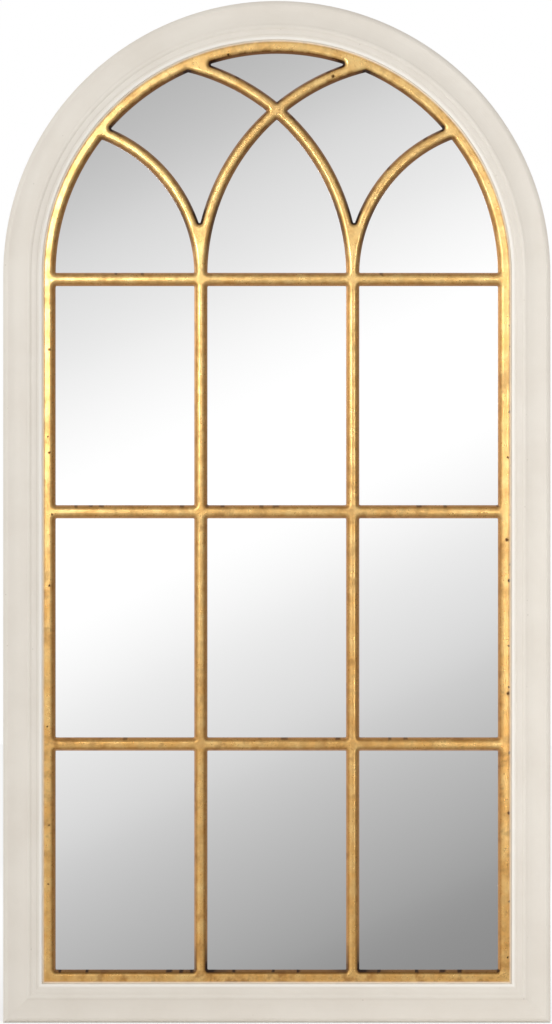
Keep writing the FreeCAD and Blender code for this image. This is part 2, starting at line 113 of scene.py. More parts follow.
class Graph:
    """The shader nodes of one material or of the world.

    Attributes:
        spot_least: A spot's least radius, as a share of the largest.
        spot_core: How much of a spot's radius is wholly covered.
        swirl_middle: The middle of the noise that stirs a place.
    """

    spot_least: ClassVar[float] = 0.4
    spot_core: ClassVar[float] = 0.35
    swirl_middle: ClassVar[Point] = (0.5, 0.5, 0.5)

    def __init__(self, tree: bpy.types.NodeTree) -> None:
        """Starts from an empty tree."""
        self.tree = tree
        tree.nodes.clear()

    def add(self, kind: str, inputs: Inputs | None = None, **settings: Any) -> bpy.types.Node:
        """Adds a node.

        Args:
            kind: The node's type name.
            inputs: Values or sockets for its inputs, by name or number.
            **settings: The node's own properties.

        Returns:
            The new node.
        """
        node = self.tree.nodes.new(kind)
        for name, value in settings.items():
            setattr(node, name, value)
        for key, value in (inputs or {}).items():
            self.feed(node.inputs[key], value)
        return node

    def feed(self, socket: Socket, value: Input) -> None:
        """Links a socket to an input, or sets the input's own value.

        Args:
            socket: The input.
            value: What it gets.
        """
        if isinstance(value, bpy.types.NodeSocket):
            self.tree.links.new(value, socket)
        elif isinstance(value, tuple) and socket.type == "RGBA":
            socket.default_value = (*value[:3], 1)
        else:
            socket.default_value = value

    def math(self, operation: str, *values: Input, clamp: bool = False) -> Socket:
        """Adds one sum.

        Args:
            operation: Blender's name of the sum.
            *values: Its one, two or three inputs.
            clamp: Whether the result is kept from 0 to 1.

        Returns:
            The result.
        """
        node = self.add("ShaderNodeMath", dict(enumerate(values)), operation=operation, use_clamp=clamp)
        return node.outputs[0]

    def times(self, *values: Input) -> Socket:
        """Multiplies numbers, from the first to the last."""
        return reduce(partial(self.math, "MULTIPLY"), values)

    def most(self, *values: Input) -> Socket:
        """Gives the largest of some numbers."""
        return reduce(partial(self.math, "MAXIMUM"), values)

    def place(self) -> tuple[Socket, Socket, Socket, Socket]:
        """Gives the point on the surface in the part's own frame, whole and as x, y and z."""
        whole = self.add("ShaderNodeTexCoord").outputs["Object"]
        return whole, *self.split(whole)

    def vector(self, x: Input, y: Input, z: Input) -> Socket:
        """Joins three numbers."""
        return self.add("ShaderNodeCombineXYZ", {0: x, 1: y, 2: z}).outputs[0]

    def split(self, whole: Socket) -> tuple[Socket, Socket, Socket]:
        """Takes the three numbers of a vector apart."""
        return tuple(self.add("ShaderNodeSeparateXYZ", {0: whole}).outputs)

    def length(self, whole: Socket) -> Socket:
        """Measures a vector."""
        return self.add("ShaderNodeVectorMath", {0: whole}, operation="LENGTH").outputs["Value"]

    def distance(self, whole: Socket, mark: Point) -> Socket:
        """Measures how far a place is from a mark."""
        return self.add("ShaderNodeVectorMath", {0: whole, 1: mark}, operation="DISTANCE").outputs["Value"]

    def noise(self, where: Socket, scale: float, detail: float = 3, roughness: float = 0.55) -> Socket:
        """Adds cloudy noise.

        Args:
            where: The place to read.
            scale: How many clouds lie along a metre.
            detail: How many finer layers are added.
            roughness: How strong the finer layers are.

        Returns:
            The noise, mostly from 0.3 to 0.7.
        """
        inputs = {"Vector": where, "Scale": scale, "Detail": detail, "Roughness": roughness}
        return self.add("ShaderNodeTexNoise", inputs).outputs[0]

    def spots(self, where: Socket, pitch: float, radius: float, share: Input) -> Socket:
        """Adds scattered spots, over a plane or along a line.

        Args:
            where: The place to read: the first two numbers of a vector, or one number along a line.
            pitch: The mean distance from one spot's cell to the next.
            radius: A spot's largest radius.
            share: How many of the cells hold a spot.

        Returns:
            1 in the middle of a spot, falling to 0 at its edge and outside.
        """
        place, dimensions = ("Vector", "2D") if where.type == "VECTOR" else ("W", "1D")
        inputs = {place: where, "Scale": 1 / pitch, "Randomness": 1.0}
        cells = self.add("ShaderNodeTexVoronoi", inputs, voronoi_dimensions=dimensions)
        chance = self.add("ShaderNodeSeparateColor", {0: cells.outputs["Color"]}).outputs
        reach = self.scale(chance[1], self.spot_least * radius / pitch, radius / pitch)
        inside = self.fade(self.math("DIVIDE", cells.outputs["Distance"], reach), 1.0, self.spot_core)
        return self.times(inside, self.math("LESS_THAN", chance[0], share))

    def stir(self, where: Socket, scale: float, reach: float) -> Socket:
        """Moves a place about, so that what is read there has an uneven outline.

        Args:
            where: The place.
            scale: How many swirls lie along a metre.
            reach: How far apart the furthest moved places lie.

        Returns:
            The moved place.
        """
        swirl = self.add("ShaderNodeTexNoise", {"Vector": where, "Scale": scale}).outputs["Color"]
        shift = self.add("ShaderNodeVectorMath", {0: swirl, 1: self.swirl_middle}, operation="SUBTRACT")
        inputs = {0: shift.outputs[0], 1: (reach, reach, reach), 2: where}
        return self.add("ShaderNodeVectorMath", inputs, operation="MULTIPLY_ADD").outputs[0]

    def part_way(self, value: Input, low: float, high: float) -> Socket:
        """Gives 0 at low and 1 at high, and an even rise between them."""
        inputs = {"Value": value, "From Min": low, "From Max": high}
        return self.add("ShaderNodeMapRange", inputs).outputs[0]

    def fade(self, value: Input, low: float, high: float) -> Socket:
        """Gives 0 at low and 1 at high, with a soft start and end; low may be the larger."""
        inputs = {"Value": value, "From Min": low, "From Max": high}
        return self.add("ShaderNodeMapRange", inputs, interpolation_type="SMOOTHSTEP").outputs[0]

    def scale(self, value: Input, low: float, high: float) -> Socket:
        """Spreads 0 to 1 evenly from low to high."""
        return self.add("ShaderNodeMapRange", {"Value": value, "To Min": low, "To Max": high}).outputs[0]

    def mix(self, share: Input, first: Input, second: Input) -> Socket:
        """Blends two colours: the first at a share of 0, the second at 1."""
        # Of the node's sockets of one name, 6 and 7 are those for colours.
        return self.add("ShaderNodeMix", {0: share, 6: first, 7: second}, data_type="RGBA").outputs[2]

    def between(self, share: Input, first: Input, second: Input) -> Socket:
        """Blends two numbers: the first at a share of 0, the second at 1."""
        # Of the node's sockets of one name, 2 and 3 are those for numbers.
        return self.add("ShaderNodeMix", {0: share, 2: first, 3: second}, data_type="FLOAT").outputs[0]

    def ramp(self, share: Socket, stops: tuple[Pair, ...]) -> Socket:
        """Reads greys along a smooth line.

        Args:
            share: The place along it, from 0 to 1.
            stops: Places and their grey levels.

        Returns:
            The grey.
        """
        node = self.add("ShaderNodeValToRGB", {0: share})
        elements = node.color_ramp.elements
        node.color_ramp.interpolation = "CARDINAL"
        while len(elements) < len(stops):
            elements.new(0.5)
        for element, (position, level) in zip(elements, stops):
            element.position = position
            element.color = (level, level, level, 1)
        return node.outputs[0]

    def bump(self, height: Socket, distance: float) -> Socket:
        """Turns a height from 0 to 1 into a tilted normal, with its full height as distance."""
        return self.add("ShaderNodeBump", {"Height": height, "Distance": distance}).outputs[0]

    def surface(self, **inputs: Input) -> None:
        """Ends the tree in a Principled surface.

        Args:
            **inputs: The surface's inputs, their names with underscores for spaces.
        """
        named = {name.replace("_", " "): value for name, value in inputs.items()}
        shader = self.add("ShaderNodeBsdfPrincipled", named)
        self.add("ShaderNodeOutputMaterial", {"Surface": shader.outputs[0]})


def new_material(name: str) -> tuple[bpy.types.Material, Graph]:
    """Makes a material.

    Args:
        name: Its name.

    Returns:
        The material and its graph, which is still empty.
    """
    material = bpy.data.materials.new(name)
    material.use_nodes = True
    return material, Graph(material.node_tree)


def dress(names: list[str], material: bpy.types.Material) -> None:
    """Gives CAD nodes a material.

    Args:
        names: The nodes.
        material: What they are finished in.
    """
    for name in names:
        node = bpy.data.objects[name]
        for slot in node.material_slots:
            slot.material = material
        LOG.info("%s: %s", name, material.name)


@dataclass(frozen=True)
class CreamPaint:
    """Brushed cream paint, a few faint specks, a painted highlight on the lip and bare board at the back.

    The first five fields are the frame's own: half its width, half the opening's width, the height of the
    opening's sill, the height that the arch springs from, and the depth of the back.
    """

    half_width: float
    opening: float
    sill: float
    spring: float
    back: float
    paint: Colour = srgb(239, 232, 221)
    shade: Colour = srgb(232, 224, 212)
    glaze: Colour = srgb(190, 180, 166)
    # Paler paint of the painted highlight along the lip, the opening's edge.
    lip_highlight: Colour = srgb(252, 247, 238)
    bare: Colour = srgb(176, 146, 112)
    fibre: Colour = srgb(132, 104, 76)
    brush_scale: float = 900.0
    brush_drag: float = 0.03
    brush_shade: Span = (0.0, 0.3)
    cloud_scale: float = 14.0
    cloud_shade: Span = (0.3, 0.75)
    specks: Scatter = (0.03, 0.0012, 0.2)
    speck_strength: float = 0.4
    lip: Span = (0.004, 0.0015)
    fibre_scale: float = 700.0
    fibre_roughness: float = 0.7
    fibre_shade: Span = (0.0, 0.5)
    edge_wander: Span = (-0.0004, 0.0004)
    paint_end: Span = (-0.0009, -0.0004)
    outer_side: Span = (-0.0012, -0.0004)
    satin: Span = (0.36, 0.52)
    matt: float = 0.85
    shine: float = 0.35
    relief: float = 0.00008

    def follow(self, graph: Graph, run: Run, x: Socket, z: Socket) -> tuple[Socket, Socket, Socket]:
        """Follows a length of moulding.

        Args:
            graph: The material's nodes.
            run: The way the moulding runs.
            x: How far right the point is.
            z: How high it is.

        Returns:
            The place across the moulding, the place along it, and the distance from the opening.
        """
        if run is Run.UPRIGHT:
            return x, z, graph.math("SUBTRACT", graph.math("ABSOLUTE", x), self.opening)
        if run is Run.LEVEL:
            return z, x, graph.math("SUBTRACT", self.sill, z)
        rise = graph.math("SUBTRACT", z, self.spring)
        radius = graph.length(graph.vector(x, 0.0, rise))
        along = graph.times(graph.math("ARCTAN2", rise, x), self.half_width)
        return radius, along, graph.math("SUBTRACT", radius, self.opening)

    def material(self, run: Run) -> bpy.types.Material:
        """Builds the paint.

        Args:
            run: The way the moulding runs, which its brush marks follow.

        Returns:
            The material.
        """
        material, graph = new_material(f"cream_paint_{run.value}")
        whole, x, y, z = graph.place()
        across, along, inset = self.follow(graph, run, x, z)
        brushed = graph.vector(across, y, graph.times(along, self.brush_drag))
        strokes = graph.noise(brushed, self.brush_scale, detail=4)
        clouds = graph.noise(whole, self.cloud_scale, detail=4)
        specks = graph.spots(graph.vector(x, z, 0.0), *self.specks)
        colour = graph.mix(graph.fade(clouds, *self.cloud_shade), self.paint, self.shade)
        colour = graph.mix(graph.scale(strokes, *self.brush_shade), colour, self.shade)
        colour = graph.mix(graph.times(specks, self.speck_strength), colour, self.glaze)
        # Painted highlight: the paint turns paler along the lip.
        colour = graph.mix(graph.fade(inset, *self.lip), colour, self.lip_highlight)
        fibres = graph.noise(whole, self.fibre_scale, detail=5, roughness=self.fibre_roughness)
        board = graph.mix(graph.scale(fibres, *self.fibre_shade), self.bare, self.fibre)
        edge = graph.math("ADD", y, graph.scale(clouds, *self.edge_wander))
        behind = graph.fade(edge, *(self.back + step for step in self.paint_end))
        width = self.half_width - self.opening
        dull = graph.most(behind, graph.fade(inset, *(width + step for step in self.outer_side)))
        graph.surface(
            Base_Color=graph.mix(behind, colour, board),
            Roughness=graph.between(dull, graph.scale(strokes, *self.satin), self.matt),
            Specular_IOR_Level=self.shine,
            Normal=graph.bump(graph.between(behind, strokes, fibres), self.relief),
        )
        return material


@dataclass(frozen=True)
class BarPoint:
    """What the layers of the gold read at a point on a bar.

    Attributes:
        whole: The point.
        flat: Its place in the front view.
        stirred: That place, moved about a little.
        height: How high it is.
        upward: How much the surface faces up.
        depth: 0 on the crown, 1 at the glass.
        toning: The depth with an uneven edge.
        rise: 0 at the sill, 1 at the top of the head.
        low: 1 on the sill, 0 from a little above it.
        border: How far it is inside the rim's outer edge, at the sides and round the arch.
    """

    whole: Socket
    flat: Socket
    stirred: Socket
    height: Socket
    upward: Socket
    depth: Socket
    toning: Socket
    rise: Socket
    low: Socket
    border: Socket


@dataclass(frozen=True)
class GoldLeaf:
    """Burnished leaf with painted light and shade, worn to the bole in places.

    The leaf is paler towards the top as painted light; the flanks are browner as patina and painted shade.
    Painted shade darkens the corners beside the glass, the nooks where bars meet and what faces up, which on
    the sill is dusty too. A painted reflection of the frame's cream lip lies over the rim's outer edge. The
    first seven fields are the lattice's own: the depths of the glass and of the bars' crowns, half the rim's
    width, the heights of its sill, of the arch's springing and of its top, and the nooks that are darkened,
    each with its x, z and reach.
    Thin and thick shade start and end at a nook's reach times their numbers.
    """

    glass: float
    crown: float
    half_width: float
    sill: float
    spring: float
    high: float
    nooks: tuple[Point, ...]
    # Pale and deep leaf, mixed in clouds; the top takes the pale as painted light.
    pale: Colour = srgb(255, 215, 143)
    deep: Colour = srgb(238, 184, 108)
    # The flanks' deeper tone: patina, and painted shade towards the glass.
    flank: Colour = srgb(222, 160, 86)
    bole: Colour = srgb(150, 98, 46)
    # Dark brown for chips, knocks and the dusty sill, and for painted shade on upper faces and round the
    # nooks.
    grime_and_shade: Colour = srgb(92, 60, 27)
    black: Colour = srgb(46, 24, 11)
    # The cream of the painted reflection of the lip on the rim's outer edge.
    cream: Colour = srgb(250, 241, 226)
    bar_spacing: float = 0.06
    stir: Pair = (300.0, 0.003)
    cloud_scale: float = 60.0
    painted_top_light: float = 0.5
    tone_spread: Span = (-0.9, 1.4)
    toning_scale: float = 110.0
    toning_spread: Span = (-0.3, 0.3)
    flank_edge: Span = (-0.02, 0.34)
    rub_scale: float = 75.0
    rub_roughness: float = 0.6
    rub_edge: Span = (0.44, 0.66)
    patch_scale: float = 22.0
    patch_edge: Span = (0.35, 0.65)
    patch_strength: Span = (0.3, 1.0)
    rub_by_rise: Span = (0.7, 0.35)
    # Upward faces darken: dusty on the sill, and painted shade on every upper face.
    dust_and_shade_tilt: Span = (0.25, 0.7)
    dust_and_shade_strength: Span = (0.06, 0.6)
    # Reach, samples and edges of the painted shade in the corners, read by ambient occlusion.
    corner_reach: float = 0.014
    corner_samples: int = 8
    corner_edge: Span = (0.55, 0.4)
    corner_depth: Span = (0.2, 0.45)
    fleck_pitch: float = 0.0145
    fleck_radius: float = 0.0056
    fleck_share: Span = (0.3, 0.4)
    fleck_share_head: float = 0.12
    fleck_strength: Span = (0.65, 1.0)
    fleck_shift: float = 7.3
    ledge_tilt: Span = (0.15, 0.45)
    ledge_depth: Span = (0.04, 0.3)
    chip_stir: Pair = (450.0, 0.004)
    chips: Scatter = (0.055, 0.0032, 0.22)
    knocks: Scatter = (0.021, 0.003, 0.32)
    knock_band: Span = (0.016, 0.012)
    knock_height: float = 0.0
    nook_shade_depth: Span = (0.08, 0.3)
    thin_nook_shade: Span = (3.6, 0.8)
    thick_nook_shade: Span = (1.0, 0.5)
    thin_strength: float = 0.8
    soot_and_shade_strength: float = 0.94
    lip_reflection_band: Span = (0.0034, 0.0006)
    worn_dullness: float = 0.7
    metal: Span = (1.0, 0.1)
    roughness: Span = (0.28, 0.6)
    grain_scale: float = 420.0
    grain_roughness: float = 0.6
    grain_spread: Span = (-0.03, 0.03)
    shine: float = 0.25
    dent_scale: float = 85.0
    dent_depth: float = 0.00015

    def read(self, graph: Graph) -> BarPoint:
        """Reads a point of the surface.

        Args:
            graph: The material's nodes.

        Returns:
            What the layers need to know about it.
        """
        whole, x, y, z = graph.place()
        flat = graph.vector(x, z, 0.0)
        facing = graph.add("ShaderNodeTexCoord").outputs["Normal"]
        depth = graph.part_way(y, self.crown, self.glass)
        uneven = graph.scale(graph.noise(whole, self.toning_scale, detail=5), *self.toning_spread)
        above = graph.most(graph.math("SUBTRACT", z, self.spring), 0.0)
        radius = graph.length(graph.vector(x, 0.0, above))
        return BarPoint(
            whole=whole,
            flat=flat,
            stirred=graph.stir(flat, *self.stir),
            height=z,
            upward=graph.split(facing)[2],
            depth=depth,
            toning=graph.math("ADD", depth, uneven),
            rise=graph.fade(z, self.sill, self.high),
            low=graph.fade(z, self.sill + self.bar_spacing, self.sill),
            border=graph.math("SUBTRACT", self.half_width, radius),
        )

    def leaf(self, graph: Graph, point: BarPoint) -> Socket:
        """Lays the leaf in deeper and paler clouds, paler towards the top as painted light.

        The flanks are deeper and browner towards the glass as patina and painted shade, and bole-brown in
        the head as painted shade.

        Args:
            graph: The material's nodes.
            point: What is read at the point.

        Returns:
            The colour.
        """
        clouds = graph.scale(graph.noise(point.whole, self.cloud_scale, detail=4), *self.tone_spread)
        # Painted light: the leaf gets paler towards the top of the head.
        tone = graph.math("ADD", graph.times(point.rise, self.painted_top_light), clouds, clamp=True)
        crown = graph.mix(tone, self.deep, self.pale)
        # Patina and painted shade: the flanks darken towards the glass, to bole-brown in the head.
        head = graph.fade(point.height, self.spring - self.bar_spacing, self.high)
        flank = graph.mix(head, self.flank, self.bole)
        return graph.mix(graph.fade(point.toning, *self.flank_edge), crown, flank)

    def worn(self, graph: Graph, point: BarPoint) -> Socket:
        """Rubs the leaf down to the bole in patches, less so towards the head.

        Args:
            graph: The material's nodes.
            point: What is read at the point.

        Returns:
            How much of the bole shows.
        """
        rubs = graph.noise(point.whole, self.rub_scale, detail=4, roughness=self.rub_roughness)
        patches = graph.fade(graph.noise(point.whole, self.patch_scale), *self.patch_edge)
        by_patch = graph.scale(patches, *self.patch_strength)
        by_rise = graph.scale(point.rise, *self.rub_by_rise)
        return graph.times(graph.fade(rubs, *self.rub_edge), by_patch, by_rise)

    def dust_and_shade(self, graph: Graph, point: BarPoint) -> Socket:
        """Darkens what faces up, most on the sill: dusty dark brown there, and painted shade on the upper
        faces.
        """
        tilt = graph.fade(point.upward, *self.dust_and_shade_tilt)
        return graph.times(tilt, graph.scale(point.low, *self.dust_and_shade_strength))

    def corners(self, graph: Graph, point: BarPoint) -> Socket:
        """Paints shade into the corners beside the glass, by how much of the room they see.

        Args:
            graph: The material's nodes.
            point: What is read at the point.

        Returns:
            How much painted shade there is.
        """
        # Painted shade: ambient occlusion blackens the corners beside the glass.
        inputs = {"Distance": self.corner_reach}
        sky = graph.add("ShaderNodeAmbientOcclusion", inputs, samples=self.corner_samples).outputs["AO"]
        return graph.times(graph.fade(sky, *self.corner_edge), graph.fade(point.depth, *self.corner_depth))

    def flecks(self, graph: Graph, point: BarPoint) -> Socket:
        """Strews flecks along the bars' upper flanks, in other places on each bar.

        Args:
            graph: The material's nodes.
            point: What is read at the point.

        Returns:
            How much of a fleck there is.
        """
        bar = graph.math("SNAP", point.height, self.bar_spacing)
        along = graph.math("MULTIPLY_ADD", bar, self.fleck_shift, graph.split(point.stirred)[0])
        head = graph.fade(point.height, self.spring - self.bar_spacing, self.spring)
        share = graph.between(head, graph.between(point.low, *self.fleck_share), self.fleck_share_head)
        fleck = graph.spots(along, self.fleck_pitch, self.fleck_radius, share)
        fleck = graph.times(fleck, graph.scale(point.low, *self.fleck_strength))
        tilt = graph.fade(point.upward, *self.ledge_tilt)
        return graph.times(fleck, graph.times(tilt, graph.fade(point.toning, *self.ledge_depth)))

    def damage(self, graph: Graph, point: BarPoint) -> Socket:
        """Chips the bars here and there, and knocks the rim's straight sides more.

        Args:
            graph: The material's nodes.
            point: What is read at the point.

        Returns:
            How much is chipped away.
        """
        chips = graph.spots(graph.stir(point.flat, *self.chip_stir), *self.chips)
        below = graph.fade(point.height, self.spring, self.knock_height)
        beside = graph.times(graph.fade(point.border, *self.knock_band), below)
        return graph.most(chips, graph.times(graph.spots(point.stirred, *self.knocks), beside))

    def nook_shade(self, graph: Graph, point: BarPoint) -> tuple[Socket, Socket]:
        """Paints shade on the flanks round the nooks where bars meet.

        Args:
            graph: The material's nodes.
            point: What is read at the point.

        Returns:
            How much thin and how much thick painted shade there is.
        """
        # Painted shade: the flanks darken towards each nook where bars meet.
        thin = 0.0
        thick = 0.0
        for x, z, reach in self.nooks:
            away = graph.distance(point.stirred, (x, z, 0.0))
            thin = graph.most(thin, graph.fade(away, *(share * reach for share in self.thin_nook_shade)))
            thick = graph.most(thick, graph.fade(away, *(share * reach for share in self.thick_nook_shade)))
        flanks = graph.fade(point.depth, *self.nook_shade_depth)
        return graph.times(thin, flanks, self.thin_strength), graph.times(thick, flanks)

    def painted(self, graph: Graph, point: BarPoint) -> Socket:
        """Lays a painted reflection of the frame's cream lip over the rim's outer edge."""
        edge = graph.math("MINIMUM", point.border, graph.math("SUBTRACT", point.height, self.sill))
        return graph.fade(edge, *self.lip_reflection_band)

    def material(self) -> bpy.types.Material:
        """Builds the gold, layer by layer.

        Returns:
            The material.
        """
        material, graph = new_material("gold_leaf")
        point = self.read(graph)
        worn = self.worn(graph, point)
        thin, thick = self.nook_shade(graph, point)
        colour = graph.mix(worn, self.leaf(graph, point), self.bole)
        # Dark brown over chips and the dusty sill, and as painted shade on upper faces and thinly round the
        # nooks.
        for share in (self.dust_and_shade(graph, point), self.damage(graph, point), thin):
            colour = graph.mix(share, colour, self.grime_and_shade)
        # Black for the real flecks, and painted shade in the corners and thickly round the nooks.
        soot_and_shade = graph.most(self.corners(graph, point), self.flecks(graph, point), thick)
        colour = graph.mix(graph.times(soot_and_shade, self.soot_and_shade_strength), colour, self.black)
        # Painted reflection: the rim's outer edge takes the lip's cream, matt.
        painted = self.painted(graph, point)
        dull = graph.most(graph.times(worn, self.worn_dullness), soot_and_shade, painted)
        grain = graph.noise(point.whole, self.grain_scale, detail=4, roughness=self.grain_roughness)
        grain = graph.scale(grain, *self.grain_spread)
        graph.surface(
            Base_Color=graph.mix(painted, colour, self.cream),
            Metallic=graph.scale(dull, *self.metal),
            Roughness=graph.math("ADD", graph.scale(dull, *self.roughness), grain),
            Specular_IOR_Level=self.shine,
            Normal=graph.bump(graph.noise(point.whole, self.dent_scale, detail=2), self.dent_depth),
        )
        return material


@dataclass(frozen=True)
class SilveredGlass:
    """Flat mirror glass with the faintest haze."""

    silver: Colour = srgb(247, 247, 247)
    cloudy: Colour = srgb(216, 216, 216)
    haze_scale: float = 6.0
    haze_strength: Span = (0.0, 0.06)
    polish: Span = (0.004, 0.018)

    def material(self) -> bpy.types.Material:
        """Builds the mirror.

        Returns:
            The material.
        """
        material, graph = new_material("silvered_glass")
        haze = graph.noise(graph.place()[0], self.haze_scale, detail=5)
        graph.surface(
            Base_Color=graph.mix(graph.scale(haze, *self.haze_strength), self.silver, self.cloudy),
            Metallic=1.0,
            Roughness=graph.scale(haze, *self.polish),
        )
        return material


@dataclass(frozen=True)
class Hardboard:
    """Brown hardboard with the screen's waffle on its rough side."""

    brown: Colour = srgb(140, 100, 66)
    dark: Colour = srgb(104, 70, 44)
    fibre_scale: float = 260.0
    fibre_roughness: float = 0.7
    fibre_shade: Span = (0.3, 0.75)
    cloud_scale: float = 9.0
    cloud_shade: Span = (0.0, 0.5)
    mesh_pitch: float = 0.0018
    mesh_height: float = 0.35
    roughness: Span = (0.65, 0.9)
    shine: float = 0.3
    relief: float = 0.0003

    def material(self) -> bpy.types.Material:
        """Builds the board.

        Returns:
            The material.
        """
        material, graph = new_material("hardboard")
        whole, x, _, z = graph.place()
        fibres = graph.noise(whole, self.fibre_scale, detail=6, roughness=self.fibre_roughness)
        clouds = graph.noise(whole, self.cloud_scale, detail=4)
        turns = 2 * math.pi / self.mesh_pitch
        waffle = graph.times(*(graph.math("SINE", graph.times(axis, turns)) for axis in (x, z)))
        colour = graph.mix(graph.fade(fibres, *self.fibre_shade), self.brown, self.dark)
        height = graph.math("ADD", fibres, graph.times(waffle, self.mesh_height))
        graph.surface(
            Base_Color=graph.mix(graph.scale(clouds, *self.cloud_shade), colour, self.dark),
            Roughness=graph.scale(fibres, *self.roughness),
            Specular_IOR_Level=self.shine,
            Normal=graph.bump(height, self.relief),
        )
        return material


@dataclass(frozen=True)
class PlatedSteel:
    """Zinc-plated steel, a little cloudy and scuffed."""

    name: str = "plated_steel"
    bright: Colour = srgb(214, 213, 208)
    dull: Colour = srgb(176, 174, 166)
    cloud_scale: float = 160.0
    cloud_edge: Span = (0.3, 0.7)
    scuff_scale: float = 1500.0
    scuff_drag: float = 0.08
    roughness: Span = (0.22, 0.5)
    relief: float = 0.00004

    def material(self) -> bpy.types.Material:
        """Builds the plating.

        Returns:
            The material.
        """
        material, graph = new_material(self.name)
        whole, x, y, z = graph.place()
        clouds = graph.noise(whole, self.cloud_scale, detail=4)
        scuffs = graph.noise(graph.vector(x, y, graph.times(z, self.scuff_drag)), self.scuff_scale)
        graph.surface(
            Base_Color=graph.mix(graph.fade(clouds, *self.cloud_edge), self.bright, self.dull),
            Metallic=1.0,
            Roughness=graph.scale(scuffs, *self.roughness),
            Normal=graph.bump(scuffs, self.relief),
        )
        return material


@dataclass(frozen=True)
class PlainStuff:
    """A matt stuff of two tones with a grain, for rubber, cork and turned beech."""

    name: str
    light: Colour
    dark: Colour
    grain: float
    stretch: Point = (1.0, 1.0, 1.0)
    roughness: Span = (0.63, 0.87)
    grain_roughness: float = 0.65
    grain_edge: Span = (0.35, 0.65)
    relief: float = 0.0001

    def material(self) -> bpy.types.Material:
        """Builds the stuff.

        Returns:
            The material.
        """
        material, graph = new_material(self.name)
        inputs = {0: graph.place()[0], 1: self.stretch}
        drawn = graph.add("ShaderNodeVectorMath", inputs, operation="MULTIPLY").outputs[0]
        fleck = graph.noise(drawn, self.grain, detail=5, roughness=self.grain_roughness)
        graph.surface(
            Base_Color=graph.mix(graph.fade(fleck, *self.grain_edge), self.light, self.dark),
            Roughness=graph.scale(fleck, *self.roughness),
            Normal=graph.bump(fleck, self.relief),
        )
        return material


RUBBER = PlainStuff("moulded_rubber", srgb(52, 51, 50), srgb(36, 35, 35), 900.0)
CORK = PlainStuff("pressed_cork", srgb(186, 146, 100), srgb(128, 92, 58), 500.0)
BEECH = PlainStuff(
    "turned_beech",
    srgb(216, 182, 138),
    srgb(186, 146, 102),
    600.0,
    stretch=(1.0, 1.0, 0.08),
    roughness=(0.48, 0.72),
)


@dataclass
class MouldedFrame:
    """The cream frame: two stiles, a bottom rail, two arch quarters and what joins them."""

    runs: ClassVar[dict[Run, list[str]]] = {
        Run.UPRIGHT: ["frame_stile_left", "frame_stile_right"],
        Run.LEVEL: ["frame_bottom_rail"],
        Run.ARCHED: ["frame_arch_left", "frame_arch_right"],
    }

    def dress(self) -> None:
        """Paints the mouldings, each along its own run."""
        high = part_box("frame_bottom_rail")[1]
        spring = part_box("frame_arch_left")[0].z
        opening = -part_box("frame_stile_left")[1].x
        paint = CreamPaint(half_width=high.x, opening=opening, sill=high.z, spring=spring, back=high.y)
        for run, names in self.runs.items():
            dress(names, paint.material(run))
        dress(["frame_dowels"], BEECH.material())
        dress(["corner_v_nails"], PlatedSteel("nail_steel").material())


@dataclass
class GlazingLattice:
    """The gilded bars in front of the glass.

    Attributes:
        prefixes: How the bars' names start.
        sill_reach: How far the painted shade reaches where a muntin stands on the sill.
        crotch_rise: The height of a fork's crotch above the springing.
        crotch_reach: How far the painted shade in it reaches.
        apexes: Where the tracery's panes end in points: x, and the height above the springing.
        apex_reach: How far the painted shade in them reaches.
    """

    prefixes: tuple[str, ...] = ("rim_", "muntin_", "crossbar_", "fork_", "tracery_")
    sill_reach: float = 0.011
    crotch_rise: float = 0.061
    crotch_reach: float = 0.016
    apexes: tuple[Pair, ...] = ((0.0747, 0.2309), (0.0985, 0.2232), (0.1837, 0.1595))
    apex_reach: float = 0.006

    def nooks(self, spring: float) -> tuple[Point, ...]:
        """Finds the nooks that are darkened with painted shade.

        Args:
            spring: The height that the arch springs from.

        Returns:
            The x, z and reach of each.
        """
        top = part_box("rim_bottom")[1].z
        nooks = []
        for side, sign in (("left", -1), ("right", 1)):
            low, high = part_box(f"muntin_{side}")
            nooks.append((high.x, top, self.sill_reach))
            nooks.append(((low.x + high.x) / 2, spring + self.crotch_rise, self.crotch_reach))
            nooks += [(sign * x, spring + rise, self.apex_reach) for x, rise in self.apexes]
        return tuple(nooks)

    def dress(self, names: list[str]) -> None:
        """Gilds every bar.

        Args:
            names: All the nodes of the frame.
        """
        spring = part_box("frame_arch_left")[0].z
        leaf = GoldLeaf(
            glass=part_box("mirror_glass")[0].y,
            crown=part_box("muntin_left")[0].y,
            half_width=-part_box("frame_stile_left")[1].x,
            sill=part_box("frame_bottom_rail")[1].z,
            spring=spring,
            high=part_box("rim_arch_left")[1].z,
            nooks=self.nooks(spring),
        )
        dress([name for name in names if name.startswith(self.prefixes)], leaf.material())
        dress(["lattice_screws"], PlatedSteel("lattice_screw_steel").material())


@dataclass
class MirrorPack:
    """The glass, its setting blocks and the board behind it."""

    def dress(self) -> None:
        """Silvers the glass and finishes what holds it."""
        dress(["mirror_glass"], SilveredGlass().material())
        dress(["glass_setting_blocks"], CORK.material())
        dress(["back_board"], Hardboard().material())


